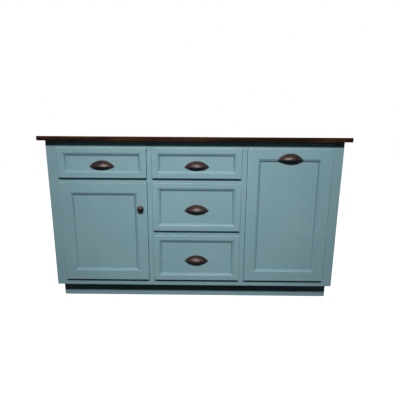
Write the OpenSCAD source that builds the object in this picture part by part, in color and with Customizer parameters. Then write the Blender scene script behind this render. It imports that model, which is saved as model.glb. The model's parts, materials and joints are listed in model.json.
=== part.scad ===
// Kitchen island unit: a painted face-frame base cabinet under a stained wooden top.
// Left bay: drawer over door. Middle bay: three drawers. Right bay: pull-out bin carrier.
// The origin lies on the floor, under the middle of the box that holds the whole unit.
// X runs along the fronts, the fronts face -Y, and Z points up.

/* [Body] */
// Width of the cabinet, without the overhang of its top
body_w = 1524; // [1440:1:1800]
// Depth of the cabinet, from the front of the face frame to the back
body_d = 610; // [600:1:700]
// Height of the whole unit, from the floor to its work surface
unit_h = 914; // [880:1:960]
// Thickness of the carcass sides
side_t = 19; // [15:0.5:22]
// Thickness of the finished panels that cover the carcass sides
end_panel_t = 9; // [4:0.5:12]
// Thickness of the partitions between the bays
partition_t = 18; // [15:0.5:22]
// Thickness of the floor panel
floor_t = 18; // [15:0.5:22]
// Thickness of the back panel
back_t = 12; // [6:0.5:18]
// Thickness of the stretchers that carry the top
stretcher_t = 18; // [15:0.5:22]
// Width of the stretchers, front to back
stretcher_w = 90; // [70:1:120]

/* [Countertop] */
// Thickness of the top
top_t = 22; // [18:0.5:40]
// How far the top overhangs the cabinet at each end
top_side_overhang = 20; // [10:1:60]
// How far the top overhangs the front of the face frame
top_front_overhang = 46; // [20:1:49]
// How far the top overhangs the back
top_back_overhang = 32; // [10:1:60]
// Radius of the top's upright corners
top_corner_r = 3; // [1:0.5:8]

/* [Toe kick] */
// Height of the toe space
toe_h = 102; // [90:1:120]
// Depth of the toe space, from the front of the face frame
toe_d = 76; // [60:1:90]
// Thickness of the toe-kick board and of the supports behind it
toe_board_t = 18; // [12:0.5:22]

/* [Face frame] */
// Thickness of the face frame
frame_t = 19; // [18:0.5:25]
// Width of the outer stiles
stile_w = 72; // [60:1:90]
// Width of the mullions between the bays
mullion_w = 54; // [44:1:70]
// Width of the top rail
top_rail_w = 46; // [38:1:60]
// Width of the rails between the fronts
drawer_rail_w = 49; // [40:1:60]
// Width of the bottom rail
bottom_rail_w = 52; // [40:1:70]

/* [Openings] */
// Width of the left bay's opening
left_opening_w = 431; // [380:1:470]
// Width of the right bay's opening
right_opening_w = 406; // [370:1:440]
// Height of the openings of the two short drawers
small_opening_h = 130; // [115:1:150]

/* [Fronts] */
// Thickness of the drawer fronts and of the door
front_t = 19; // [18:0.5:22]
// How far a front laps over the face frame on each side
overlay = 12; // [8:0.5:16]
// Gap between the fronts and the face frame
front_gap = 1.6; // [1.4:0.1:3]
// Chamfer along a front's outer edges
front_ease = 2.5; // [0.5:0.1:3]
// Width of the flat border of a drawer front
drawer_border = 27; // [20:0.5:32]
// Width of the flat border of the door and of the tall front
door_border = 53; // [46:0.5:60]
// Width of the moulding inside the border
moulding_w = 16; // [13.5:0.5:20]
// Depth of the step between the border and the moulding
moulding_step = 1.5; // [0.8:0.1:2.5]
// Width of the moulding's slope, next to the border
slope_w = 8.5; // [6:0.5:9]
// Depth of the slope's inner edge
slope_depth = 5; // [4:0.1:5.5]
// Width of the fillet that falls from the slope to the cove
fillet_w = 3; // [2:0.1:4]
// Depth of the cove's outer edge
cove_depth = 8.5; // [7:0.1:8.8]
// Depth of the moulding's inner edge
moulding_depth = 9; // [8.8:0.1:9.5]
// Depth of the sunk panel below the border
panel_depth = 10.2; // [9.8:0.1:11]
// Thickness of the loose panel in the door and in the tall front
panel_t = 6; // [4.5:0.5:6.5]
// Depth of the groove that holds a loose panel
panel_groove = 8; // [5:0.5:9]

/* [Drawer boxes] */
// Thickness of the boxes' walls
box_t = 12; // [10:0.5:15]
// Thickness of the drawer bottoms
bottom_t = 6; // [4:0.5:9]
// Depth of the groove that holds a bottom
groove = 6; // [4:0.5:8]
// Height of a bottom's groove above the lower edge of its box
groove_lift = 10; // [6:0.5:16]
// Space between an opening's lower edge and the box
box_lift = 14; // [8:1:20]
// Space between the top of the box and the opening's upper edge
box_headroom = 16; // [10:1:24]

/* [Slides] */
// Space between the slides and the back panel, which sets the slides' length
slide_back_gap = 46; // [10:1:150]
// How much shorter each slide member is than the one around it
slide_step = 6; // [2:1:12]
// Height of a slide
slide_h = 45; // [35:1:50]
// Thickness of a whole slide between box and opening
slide_w = 12.7; // [12:0.1:14]
// Sheet thickness of the slide members
slide_t = 1.2; // [1:0.1:1.5]
// Gap between nested slide members
slide_play = 0.4; // [0.3:0.05:0.5]
// How far the slides stand back from the front of the face frame
slide_setback = 2; // [1:0.5:6]
// Height of a slide's middle line above the lower edge of its box
slide_lift = 50; // [40:1:55]

/* [Bin carrier] */
// Height of the carrier's front wall
carrier_h = 400; // [340:5:460]
// Height of the carrier's back wall
carrier_back_h = 260; // [200:5:320]
// Thickness of the carrier's bottom
carrier_bottom_t = 9; // [6:0.5:12]
// Height of a bin
bin_h = 420; // [360:5:480]
// Gap around the bins' rims
bin_play = 5; // [3:0.5:8]
// Wall thickness of a bin
bin_wall = 2.5; // [2:0.1:4]
// How far a bin narrows from its rim to its bottom, on each side
bin_taper = 18; // [8:1:24]
// Width of a bin's turned-out rim
bin_rim = 8; // [5:0.5:10]
// Height of a bin's rim
bin_rim_h = 12; // [8:0.5:16]
// Corner radius of a bin
bin_corner_r = 30; // [15:1:40]

/* [Cup pulls] */
// Length of a pull from tip to tip
pull_w = 132; // [110:1:145]
// Height of a pull, with the flange above its cup
pull_h = 34; // [31:0.5:38]
// Thickness of the flange
pull_flange_t = 2; // [1.5:0.1:3]
// Wall thickness of the cup
pull_wall = 2; // [1.5:0.1:3]
// How far a pull reaches out from the surface under it, and the radius of its cup
pull_reach = 30; // [24:0.5:31]
// Distance between a pull's two screws
pull_screw_pitch = 76; // [60:1:80]
// Height of the screws above the pull's lip
pull_screw_lift = 7; // [6:0.5:9]
// How far a drawer pull's lip lies below the middle of its front
pull_drop = 21; // [10:0.5:24]
// Distance of the bin front's pull from its upper edge, down to the lip
bin_pull_drop = 57; // [45:0.5:60]

/* [Knob] */
// Diameter of the knob
knob_d = 34; // [28:0.5:36]
// How far the knob reaches out from the door
knob_reach = 29; // [22:0.5:32]
// Diameter of the knob's foot
knob_foot_d = 16; // [12:0.5:20]
// Diameter of the knob's neck
knob_neck_d = 11; // [9:0.5:14]
// Distance from the door to where the knob is widest
knob_rim_reach = 17; // [12:0.5:20]
// Distance of the knob below the door's upper edge
knob_drop = 133; // [60:1:200]
// Distance of the knob from the door's opening edge
knob_inset = 32; // [20:1:38]

/* [Screws] */
// Diameter of the machine screws of the pulls and of the knob
screw_d = 4; // [3:0.5:5]
// Diameter of the screw heads
screw_head_d = 8; // [7:0.5:10]
// Height of the screw heads
screw_head_h = 2.5; // [2:0.1:3]
// How far a machine screw enters the pull or knob
screw_bite = 7; // [5:0.5:8]
// Diameter of the countertop screws
top_screw_d = 4.5; // [4:0.1:5]
// How far a countertop screw enters the top
top_screw_bite = 13; // [8:0.5:14]
// Distance of the outer countertop screws from the carcass sides
top_screw_inset = 88; // [40:1:200]

/* [Shelf] */
// Thickness of the shelf
shelf_t = 18; // [15:0.5:22]
// Number of pin holes in each upright row
shelf_hole_count = 5; // [3:2:7]
// Distance between the pin holes
shelf_hole_pitch = 32; // [25:1:40]
// Diameter of the shelf pins
shelf_pin_d = 5; // [4:0.5:6]
// Distance of the shelf pins from the face frame and from the back panel
shelf_pin_setback = 60; // [40:1:100]
// Setback of the shelf's front edge from the face frame
shelf_setback = 20; // [10:1:40]
// Gap between the shelf and the bay's walls
shelf_play = 1; // [0.5:0.1:2]

/* [Door hinges] */
// Diameter of the hinge cups
cup_d = 35; // [33:0.5:36]
// Distance of the cups' middle from the door's edge
cup_inset = 22.5; // [21:0.5:25]
// Depth of the cups
cup_depth = 12; // [11.5:0.1:12.5]
// Wall thickness of the cups
cup_wall = 1.5; // [1:0.1:1.6]
// Thickness of the cups' flange on the back of the door
cup_flange_t = 1; // [0.6:0.1:1]
// Width of the flange around a cup
cup_flange_w = 2; // [1:0.1:3]
// Distance of the hinge pin from the door's edge
hinge_pin_inset = 20; // [19:0.1:21]
// Depth of the hinge pin below the back of the door
hinge_pin_depth = 6.5; // [6.2:0.1:6.8]
// Diameter of the hinge pins
hinge_pin_d = 3; // [2.5:0.1:3]
// Wall of the link's eye, round the hinge pin
link_eye_wall = 1.7; // [1:0.1:2]
// Reach of the link's neck beyond the hinge pin
link_neck = 12; // [11.5:0.1:12.5]
// Thickness of the link
link_t = 3; // [2.5:0.1:3]
// Height of the link
link_h = 14; // [10:0.5:14]
// Length of the link's bar, from the hinge pin into the arm
link_len = 52; // [50:0.5:53]
// Wall thickness of the arm that guides the link
arm_wall = 1.6; // [1.2:0.1:1.8]
// Length of the arm
arm_len = 45; // [44.5:0.5:60]
// Distance of the hinges from the door's upper and lower edges
hinge_end_distance = 90; // [70:1:120]

/* [Hidden] */
$fn = 96;
fit = 0.05;         // radial clearance of screws and pins in their holes
screw_clearance = 0.25; // radial clearance of screws in wood
loose = 0.4;        // clearance of the link in its arm and of panels in their grooves
cut = 1;            // how far a cutter reaches past the face that it opens
spare = 1;          // how much deeper a blind hole is than what it holds

// Heights, from the floor up
top_z = unit_h - top_t;
opening_z0 = toe_h + bottom_rail_w;
opening_z1 = top_z - top_rail_w;
small_z0 = opening_z1 - small_opening_h;
door_z1 = small_z0 - drawer_rail_w;
deep_h = (door_z1 - opening_z0 - drawer_rail_w) / 2;
small_z = [small_z0, opening_z1];
door_z = [opening_z0, door_z1];
middle_z = [door_z1 - deep_h, door_z1];
lower_z = [opening_z0, opening_z0 + deep_h];
tall_z = [opening_z0, opening_z1];

// Depths, from the frontmost point back
front_reach = max(front_gap + front_t + max(knob_reach, pull_reach), top_front_overhang);
face_y = front_reach - (front_reach + body_d + top_back_overhang) / 2;
back_y = face_y + body_d;
carcass_y = [face_y + frame_t, back_y - back_t];
front_back_y = face_y - front_gap;
front_face_y = front_back_y - front_t;
panel_face_y = front_face_y + panel_depth;
slide_y0 = face_y + slide_setback;
slide_len = carcass_y[1] - slide_back_gap - slide_y0;   // also the depth of the boxes
box_y = [front_back_y, front_back_y + slide_len];

// Widths, from left to right
half_w = body_w / 2;
side_x = half_w - end_panel_t;
bay_x = side_x - side_t;
left_x = [-half_w + stile_w, -half_w + stile_w + left_opening_w];
right_x = [half_w - stile_w - right_opening_w, half_w - stile_w];
middle_x = [left_x[1] + mullion_w, right_x[0] - mullion_w];
mullions_x = [left_x[1] + mullion_w / 2, right_x[0] - mullion_w / 2];
left_bay = [-bay_x, mullions_x[0] - partition_t / 2];
middle_bay = [mullions_x[0] + partition_t / 2, mullions_x[1] - partition_t / 2];
right_bay = [mullions_x[1] + partition_t / 2, bay_x];

// Every drawer: its name, and its opening in width and height
DRAWERS = [
    ["left_drawer", left_x, small_z],
    ["upper_drawer", middle_x, small_z],
    ["middle_drawer", middle_x, middle_z],
    ["lower_drawer", middle_x, lower_z],
];
// Every pair of slides: opening, walls of the bay, height of the middle line
SLIDE_PAIRS = [
    [left_x, left_bay, slide_z(small_z)],
    [middle_x, middle_bay, slide_z(small_z)],
    [middle_x, middle_bay, slide_z(middle_z)],
    [middle_x, middle_bay, slide_z(lower_z)],
    [right_x, right_bay, slide_z(tall_z)],
];

boss_d = 2 * screw_d;   // bosses inside the pulls, round their screws

// Door, knob and hinges
door_x = grow(left_x, overlay);
door_front_z = grow(door_z, overlay);
hinge_z = [door_front_z[0] + hinge_end_distance, door_front_z[1] - hinge_end_distance];
hinge_pin = [door_x[0] + hinge_pin_inset, front_back_y - hinge_pin_depth];
cup_x = door_x[0] + cup_inset;
cup_fit = 0.1;          // gap between a cup and its hole in the door
cup_ear = [14, 58];     // width and height of the flange's two ears
hinge_plate = [15, 40]; // width and height of the plate on the stile's edge
hinge_plate_setback = 2;
arm_setback = 1;        // how far the arm stands back from the front of the face frame
knob_at = [door_x[1] - knob_inset, front_face_y, door_front_z[1] - knob_drop];
foot_t = 2.5;           // thickness of the knob's foot
foot_slope = 1;         // height of the slope between its foot and neck

// Bin carrier and bins
carrier_x = box_x(right_x);
carrier_z0 = opening_z0 + box_lift;
bin_floor_z = carrier_z0 + groove_lift + carrier_bottom_t;
bin_size = [
    carrier_x[1] - carrier_x[0] - 2 * box_t - 2 * bin_play,
    (slide_len - 2 * box_t - 3 * bin_play) / 2,
];
bin_y = [
    for (i = [0, 1]) box_y[0] + box_t + bin_play + bin_size[1] / 2 + i * (bin_size[1] + bin_play)
];

// Shelf and countertop screws
shelf_z = middle(door_z);
shelf_hole_z0 = shelf_z - (shelf_hole_count - 1) / 2 * shelf_hole_pitch;
shelf_pin_y = grow(carcass_y, -shelf_pin_setback);
pin_in = 8;             // how deep a shelf pin sits in the wall
pin_out = 9;            // how far it stands out of the wall
stretchers_y = [carcass_y[0], carcass_y[1] - stretcher_w];
top_screw_x = [-bay_x + top_screw_inset, 0, bay_x - top_screw_inset];

function grow(span, by) = [span[0] - by, span[1] + by];
function middle(span) = (span[0] + span[1]) / 2;
function box_x(opening) = grow(opening, -slide_w);
function box_z(opening) = [opening[0] + box_lift, opening[1] - box_headroom];
function slide_z(opening) = opening[0] + box_lift + slide_lift;
function arc_r(half, h) = (half * half + h * h) / (2 * h);
function pull_screws_z(opening) = middle(opening) - pull_drop + pull_screw_lift;

// ---- shared shapes ----

// A board between two corners
module block(x, y, z) {
    translate([x[0], y[0], z[0]])
        cube([x[1] - x[0], y[1] - y[0], z[1] - z[0]]);
}

// A solid through rectangles that lie one behind the other: each ring is [inset, y]
module stepped(x, z, rings) {
    corners = [for (r = rings, c = [[0, 0], [1, 0], [1, 1], [0, 1]])
        [c[0] == 0 ? x[0] + r[0] : x[1] - r[0], r[1], c[1] == 0 ? z[0] + r[0] : z[1] - r[0]]];
    last = 4 * (len(rings) - 1);
    sides = [for (i = [0:len(rings) - 2], k = [0:3])
        [4 * i + k, 4 * i + (k + 1) % 4, 4 * i + 4 + (k + 1) % 4, 4 * i + 4 + k]];
    polyhedron(corners, concat([[3, 2, 1, 0]], sides, [[last, last + 1, last + 2, last + 3]]));
}

// A front's board, with its front edges eased
module front_board(x, z) {
    stepped(x, z, [[front_ease, front_face_y], [0, front_face_y + front_ease], [0, front_back_y]]);
}

// The cut inside a front's border: step, slope, fillet and cove
module moulding_cut(x, z, border) {
    stepped(x, z, [
        [border, front_face_y - cut],
        [border, front_face_y + moulding_step],
        [border + slope_w, front_face_y + slope_depth],
        [border + slope_w + fillet_w, front_face_y + cove_depth],
        [border + moulding_w, front_face_y + moulding_depth],
    ]);
}

// The opening inside the moulding, down to a given depth
module field_cut(x, z, border, y1) {
    block(grow(x, -border - moulding_w), [front_face_y - cut, y1], grow(z, -border - moulding_w));
}

// A framed front without its loose panel, which sits in the groove
module front_frame(x, z) {
    inset = door_border + moulding_w - panel_groove;
    difference() {
        front_board(x, z);
        moulding_cut(x, z, door_border);
        field_cut(x, z, door_border, front_back_y + cut);
        block(grow(x, -inset), [panel_face_y, panel_face_y + panel_t], grow(z, -inset));
    }
}

// The loose panel of a framed front
module front_panel(x, z) {
    inset = door_border + moulding_w - panel_groove + loose;
    block(grow(x, -inset), [panel_face_y, panel_face_y + panel_t], grow(z, -inset));
}

// Children at both walls of an opening, with X pointing away from the wall
module at_walls(opening) {
    translate([opening[0], 0, 0])
        children();
    translate([opening[1], 0, 0])
        mirror([1, 0, 0])
            children();
}

// A C-shaped slide member: web and span are distances from the wall
module channel(web, span, half_h, y, z) {
    block(web, y, [z - half_h, z + half_h]);
    block(span, y, [z - half_h, z - half_h + slide_t]);
    block(span, y, [z + half_h - slide_t, z + half_h]);
}

// The member that is screwed to the cabinet
module cabinet_member(z) {
    channel([0, slide_t], [0, slide_w - slide_t - slide_play], slide_h / 2,
        [slide_y0, slide_y0 + slide_len], z);
}

// The member between the other two
module middle_member(z) {
    inner = slide_t + slide_play;
    channel([inner, inner + slide_t], [inner, slide_w - inner], slide_h / 2 - inner,
        [slide_y0, slide_y0 + slide_len - slide_step], z);
}

// The member that is screwed to the box
module box_member(z) {
    inner = slide_t + slide_play;
    channel([slide_w - slide_t, slide_w], [2 * inner, slide_w], slide_h / 2 - 2 * inner,
        [slide_y0, slide_y0 + slide_len - 2 * slide_step], z);
}

// A rod along Y from one depth to another
module rod_y(x, z, y, d) {
    translate([x, y[0], z])
        rotate([-90, 0, 0])
            cylinder(d = d, h = y[1] - y[0]);
}

// A machine screw from behind, head first: from the face under its head into what it holds
module machine_screw(x, z, head_y, front_y) {
    rod_y(x, z, [front_y - screw_bite, head_y], screw_d);
    rod_y(x, z, [head_y, head_y + screw_head_h], screw_head_d);
}

// Holes for a pull's two screws
module pull_screw_holes(x, z, y) {
    for (s = [-1, 1])
        rod_y(x + s * pull_screw_pitch / 2, z, y, screw_d + 2 * screw_clearance);
}

// ---- cup pull, with its screws ----

// A flat shape: an arc over a straight lower edge
module arc_segment(half, h) {
    r = arc_r(half, h);
    intersection() {
        translate([0, h - r])
            circle(r = r);
        translate([-half, 0])
            square([2 * half, h]);
    }
}

// A lemon-shaped solid about the lip line, swept from the given angle
module lemon(half, h, start, sweep) {
    rotate([0, 90, 0])
        rotate([0, 0, start])
            rotate_extrude(angle = sweep)
                rotate([0, 0, -90])
                    arc_segment(half, h);
}

// Pull over the point [x, z] of its lip's middle, on a surface at depth y, with its screws' heads at head_y
module cup_pull(x, y, z, head_y) {
    half = pull_w / 2 - (pull_h - pull_reach);
    color("saddlebrown")
        translate([x, y, z]) {
            difference() {
                union() {
                    rotate([90, 0, 0])
                        linear_extrude(pull_flange_t)
                            arc_segment(pull_w / 2, pull_h);
                    lemon(half, pull_reach, 180, 90);
                }
                lemon(half - pull_wall, pull_reach - pull_wall, 0, 360);
            }
            difference() {
                intersection() {
                    for (s = [-1, 1])
                        rod_y(s * pull_screw_pitch / 2, pull_screw_lift, [-pull_reach, 0], boss_d);
                    lemon(half - pull_wall / 2, pull_reach - pull_wall / 2, 180, 90);
                }
                for (s = [-1, 1])
                    rod_y(s * pull_screw_pitch / 2, pull_screw_lift,
                        [-screw_bite - spare, cut], screw_d + 2 * fit);
            }
        }
    color("saddlebrown")
        for (s = [-1, 1])
            machine_screw(x + s * pull_screw_pitch / 2, z + pull_screw_lift, head_y, y);
}

// ---- carcass ----

module countertop() {
    x = half_w + top_side_overhang;
    color([0.17, 0.08, 0.04])
        difference() {
            translate([0, 0, top_z])
                linear_extrude(top_t)
                    rounded_rectangle([-x, x], [face_y - top_front_overhang, back_y + top_back_overhang],
                        top_corner_r);
            for (px = top_screw_x, y0 = stretchers_y)
                translate([px, y0 + stretcher_w / 2, top_z - cut])
                    cylinder(d = top_screw_d + 2 * fit, h = cut + top_screw_bite + spare);
        }
}

// A flat rectangle with round corners
module rounded_rectangle(x, y, r) {
    translate([x[0] + r, y[0]])
        square([x[1] - x[0] - 2 * r, y[1] - y[0]]);
    translate([x[0], y[0] + r])
        square([x[1] - x[0], y[1] - y[0] - 2 * r]);
    for (cx = grow(x, -r), cy = grow(y, -r))
        translate([cx, cy])
            circle(r = r);
}

// An upright panel that stands on the floor, cut back for the toe space
module side_board(x, y1) {
    difference() {
        block(x, [carcass_y[0], y1], [0, top_z]);
        block(grow(x, cut), [carcass_y[0] - cut, face_y + toe_d], [-cut, toe_h]);
    }
}

// Rows of holes for the shelf pins, drilled into a wall along X
module shelf_holes(x) {
    for (y = shelf_pin_y, i = [0:shelf_hole_count - 1])
        translate([x[0], y, shelf_hole_z0 + i * shelf_hole_pitch])
            rotate([0, 90, 0])
                cylinder(d = shelf_pin_d + 2 * fit, h = x[1] - x[0]);
}

module left_side() {
    color("burlywood")
        difference() {
            side_board([-side_x, -bay_x], carcass_y[1]);
            shelf_holes([-bay_x - pin_in - spare, -bay_x + cut]);
        }
}

module right_side() {
    color("burlywood")
        side_board([bay_x, side_x], carcass_y[1]);
}

module end_panels() {
    color([0.44, 0.56, 0.59]) {
        side_board([-half_w, -side_x], back_y);
        side_board([side_x, half_w], back_y);
    }
}

module partitions() {
    color("burlywood")
        for (x = mullions_x)
            difference() {
                block([x - partition_t / 2, x + partition_t / 2], carcass_y,
                    [opening_z0, top_z - stretcher_t]);
                shelf_holes([left_bay[1] - cut, left_bay[1] + pin_in + spare]);
            }
}

module floor_panel() {
    color("burlywood")
        block([-bay_x, bay_x], carcass_y, [opening_z0 - floor_t, opening_z0]);
}

module back_panel() {
    color([0.44, 0.56, 0.59])
        block([-side_x, side_x], [carcass_y[1], back_y], [0, top_z]);
}

module top_stretchers() {
    color("burlywood")
        for (y0 = stretchers_y)
            difference() {
                block([-bay_x, bay_x], [y0, y0 + stretcher_w], [top_z - stretcher_t, top_z]);
                for (px = top_screw_x)
                    translate([px, y0 + stretcher_w / 2, top_z - stretcher_t - cut])
                        cylinder(d = top_screw_d + 2 * fit, h = stretcher_t + 2 * cut);
            }
}

module countertop_screws() {
    color("silver")
        for (px = top_screw_x, y0 = stretchers_y)
            translate([px, y0 + stretcher_w / 2, top_z - stretcher_t]) {
                cylinder(d = top_screw_d, h = stretcher_t + top_screw_bite);
                translate([0, 0, -screw_head_h])
                    cylinder(d = screw_head_d, h = screw_head_h);
            }
}

module toe_kick() {
    color([0.44, 0.56, 0.59])
        block([-bay_x, bay_x], [face_y + toe_d, face_y + toe_d + toe_board_t],
            [0, opening_z0 - floor_t]);
}

module plinth_supports() {
    color("burlywood")
        for (x = mullions_x)
            block([x - toe_board_t / 2, x + toe_board_t / 2],
                [face_y + toe_d + toe_board_t, carcass_y[1]], [0, opening_z0 - floor_t]);
}

// ---- face frame ----

// A member of the face frame
module frame_member(x, z) {
    color([0.44, 0.56, 0.59])
        block(x, [face_y, face_y + frame_t], z);
}

module left_stile() {
    frame_member([-half_w, left_x[0]], [toe_h, top_z]);
}

module right_stile() {
    frame_member([right_x[1], half_w], [toe_h, top_z]);
}

module mullions() {
    frame_member([left_x[1], middle_x[0]], tall_z);
    frame_member([middle_x[1], right_x[0]], tall_z);
}

module top_rail() {
    frame_member([left_x[0], right_x[1]], [opening_z1, top_z]);
}

module bottom_rail() {
    frame_member([left_x[0], right_x[1]], [toe_h, opening_z0]);
}

module drawer_rails() {
    frame_member(left_x, [door_z1, small_z0]);
    frame_member(middle_x, [door_z1, small_z0]);
    frame_member(middle_x, [lower_z[1], middle_z[0]]);
}

// ---- shelf ----

module shelf() {
    color("burlywood")
        block(grow(left_bay, -shelf_play), [carcass_y[0] + shelf_setback, carcass_y[1] - shelf_play],
            [shelf_z + shelf_pin_d / 2, shelf_z + shelf_pin_d / 2 + shelf_t]);
}

module shelf_pins() {
    color("silver")
        for (y = shelf_pin_y)
            at_walls(left_bay)
                translate([-pin_in, y, shelf_z])
                    rotate([0, 90, 0])
                        cylinder(d = shelf_pin_d, h = pin_in + pin_out);
}

// ---- slides ----

module cabinet_slides() {
    color("silver")
        for (p = SLIDE_PAIRS)
            at_walls(p[0])
                cabinet_member(p[2]);
}

// Wooden strips that fill the space between the bay's walls and the edges of the opening
module slide_spacers() {
    color("burlywood")
        for (p = SLIDE_PAIRS) {
            z = [p[2] - slide_h / 2, p[2] + slide_h / 2];
            y = [carcass_y[0], slide_y0 + slide_len];
            block([p[1][0], p[0][0]], y, z);
            block([p[0][1], p[1][1]], y, z);
        }
}

module slide_middles(opening_x, opening_z) {
    color("silver")
        at_walls(opening_x)
            middle_member(slide_z(opening_z));
}

module slide_runners(opening_x, opening_z) {
    color("silver")
        at_walls(opening_x)
            box_member(slide_z(opening_z));
}

// ---- drawers ----

// A drawer's front: one board, moulded on its face
module drawer_front(opening_x, opening_z) {
    x = grow(opening_x, overlay);
    z = grow(opening_z, overlay);
    color([0.44, 0.56, 0.59])
        difference() {
            front_board(x, z);
            moulding_cut(x, z, drawer_border);
            field_cut(x, z, drawer_border, panel_face_y);
            pull_screw_holes(middle(x), pull_screws_z(opening_z), [panel_face_y - cut, front_back_y + cut]);
        }
}

// Four walls, grooved inside for a bottom
module box_walls(x, z, floor_t) {
    floor_z = z[0] + groove_lift;
    difference() {
        block(x, box_y, z);
        block(grow(x, -box_t), grow(box_y, -box_t), grow(z, cut));
        block(grow(x, groove - box_t), grow(box_y, groove - box_t), [floor_z, floor_z + floor_t]);
    }
}

// A bottom panel in the groove of its box
module box_floor(x, z, floor_t) {
    inset = groove - box_t - loose;
    block(grow(x, inset), grow(box_y, inset), [z[0] + groove_lift, z[0] + groove_lift + floor_t]);
}

module drawer_box(opening_x, opening_z) {
    color("wheat")
        difference() {
            box_walls(box_x(opening_x), box_z(opening_z), bottom_t);
            pull_screw_holes(middle(opening_x), pull_screws_z(opening_z),
                [box_y[0] - cut, box_y[0] + box_t + cut]);
        }
}

module drawer_bottom(opening_x, opening_z) {
    color("wheat")
        box_floor(box_x(opening_x), box_z(opening_z), bottom_t);
}

module drawer_pull(opening_x, opening_z) {
    cup_pull(middle(opening_x), panel_face_y, middle(opening_z) - pull_drop, box_y[0] + box_t);
}

// ---- door ----

module door_frame() {
    color([0.44, 0.56, 0.59])
        difference() {
            front_frame(door_x, door_front_z);
            rod_y(knob_at[0], knob_at[2], [front_face_y - cut, front_back_y + cut],
                screw_d + 2 * screw_clearance);
            for (z = hinge_z)
                rod_y(cup_x, z, [front_back_y - cup_depth - cup_fit, front_back_y + cut],
                    cup_d + 2 * cup_fit);
        }
}

module door_panel() {
    color([0.44, 0.56, 0.59])
        front_panel(door_x, door_front_z);
}

// Turned knob: foot, neck and domed head, with its screw from the back of the door
module door_knob() {
    head_r = knob_d / 2;
    dome_h = knob_reach - knob_rim_reach;
    dome_r = arc_r(head_r, dome_h);
    dome_a = asin(head_r / dome_r);
    dome_steps = 12;
    dome = [for (i = [0:dome_steps]) let (a = dome_a * (1 - i / dome_steps))
        [dome_r * sin(a), knob_reach - dome_r + dome_r * cos(a)]];
    color("saddlebrown")
        translate(knob_at)
            rotate([90, 0, 0])
                difference() {
                    rotate_extrude()
                        polygon(concat(
                            [[0, 0], [knob_foot_d / 2, 0], [knob_foot_d / 2, foot_t],
                                [knob_neck_d / 2, foot_t + foot_slope],
                                [knob_neck_d / 2, knob_rim_reach - foot_t]],
                            dome));
                    translate([0, 0, -cut])
                        cylinder(d = screw_d + 2 * fit, h = cut + screw_bite + spare);
                }
    color("saddlebrown")
        machine_screw(knob_at[0], knob_at[2], front_back_y, front_face_y);
}

// The cup in the door, its flange on the door's back, and its pin
module hinge_cups() {
    color("silver")
        for (z = hinge_z) {
            difference() {
                union() {
                    rod_y(cup_x, z, [front_back_y - cup_depth, front_back_y], cup_d);
                    translate([cup_x, front_back_y + cup_flange_t, z])
                        rotate([90, 0, 0])
                            linear_extrude(cup_flange_t) {
                                circle(d = cup_d + 2 * cup_flange_w);
                                square(cup_ear, center = true);
                            }
                }
                rod_y(cup_x, z, [front_back_y - cup_depth + cup_wall, front_back_y + cup_flange_t + cut],
                    cup_d - 2 * cup_wall);
            }
            translate([hinge_pin[0], hinge_pin[1], z - cup_d / 2 + cup_wall])
                cylinder(d = hinge_pin_d, h = cup_d - 2 * cup_wall);
        }
}

// The link turns on the cup's pin and slides in the arm
module hinge_links() {
    eye_d = hinge_pin_d + 2 * link_eye_wall;
    color("silver")
        for (z = hinge_z)
            translate([hinge_pin[0], hinge_pin[1], z - link_h / 2])
                difference() {
                    union() {
                        cylinder(d = eye_d, h = link_h);
                        block([0, link_neck + link_t], [-link_t / 2, link_t / 2], [0, link_h]);
                        block([link_neck, link_neck + link_t], [-link_t / 2, link_len], [0, link_h]);
                    }
                    translate([0, 0, -cut])
                        cylinder(d = hinge_pin_d + 2 * fit, h = link_h + 2 * cut);
                }
}

// The plate on the stile's edge, with the hollow arm that guides the link
module hinge_plates() {
    slot_x = grow([hinge_pin[0] + link_neck, hinge_pin[0] + link_neck + link_t], loose);
    arm_x = grow(slot_x, arm_wall);
    arm_y = [face_y + arm_setback, face_y + arm_setback + arm_len];
    plate_y = [face_y + hinge_plate_setback, face_y + hinge_plate_setback + hinge_plate[0]];
    color("silver")
        for (z = hinge_z) {
            slot_z = [z - link_h / 2 - loose, z + link_h / 2 + loose];
            block([left_x[0], arm_x[0]], plate_y, [z - hinge_plate[1] / 2, z + hinge_plate[1] / 2]);
            difference() {
                block(arm_x, arm_y, grow(slot_z, arm_wall));
                block(slot_x, grow(arm_y, cut), slot_z);
            }
        }
}

// ---- bin front, carrier and bins ----

module bin_front_frame() {
    x = grow(right_x, overlay);
    z = grow(tall_z, overlay);
    color([0.44, 0.56, 0.59])
        difference() {
            front_frame(x, z);
            pull_screw_holes(middle(x), z[1] - bin_pull_drop + pull_screw_lift,
                [front_face_y - cut, front_back_y + cut]);
        }
}

module bin_front_panel() {
    color([0.44, 0.56, 0.59])
        front_panel(grow(right_x, overlay), grow(tall_z, overlay));
}

// A grooved box whose side walls slope down towards the back
module bin_carrier() {
    slope_z = [carrier_z0 + carrier_h, carrier_z0 + carrier_back_h];
    slope_y = [box_y[0] + box_t, box_y[1] - box_t];
    color("wheat")
        difference() {
            box_walls(carrier_x, [carrier_z0, slope_z[0]], carrier_bottom_t);
            translate([carrier_x[0] - cut, 0, 0])
                rotate([90, 0, 90])
                    linear_extrude(carrier_x[1] - carrier_x[0] + 2 * cut)
                        polygon([
                            [slope_y[0], slope_z[0]],
                            [slope_y[1], slope_z[1]],
                            [box_y[1] + cut, slope_z[1]],
                            [box_y[1] + cut, slope_z[0] + cut],
                            [slope_y[0], slope_z[0] + cut],
                        ]);
        }
}

module carrier_bottom() {
    color("wheat")
        box_floor(carrier_x, [carrier_z0, carrier_z0 + carrier_h], carrier_bottom_t);
}

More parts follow.
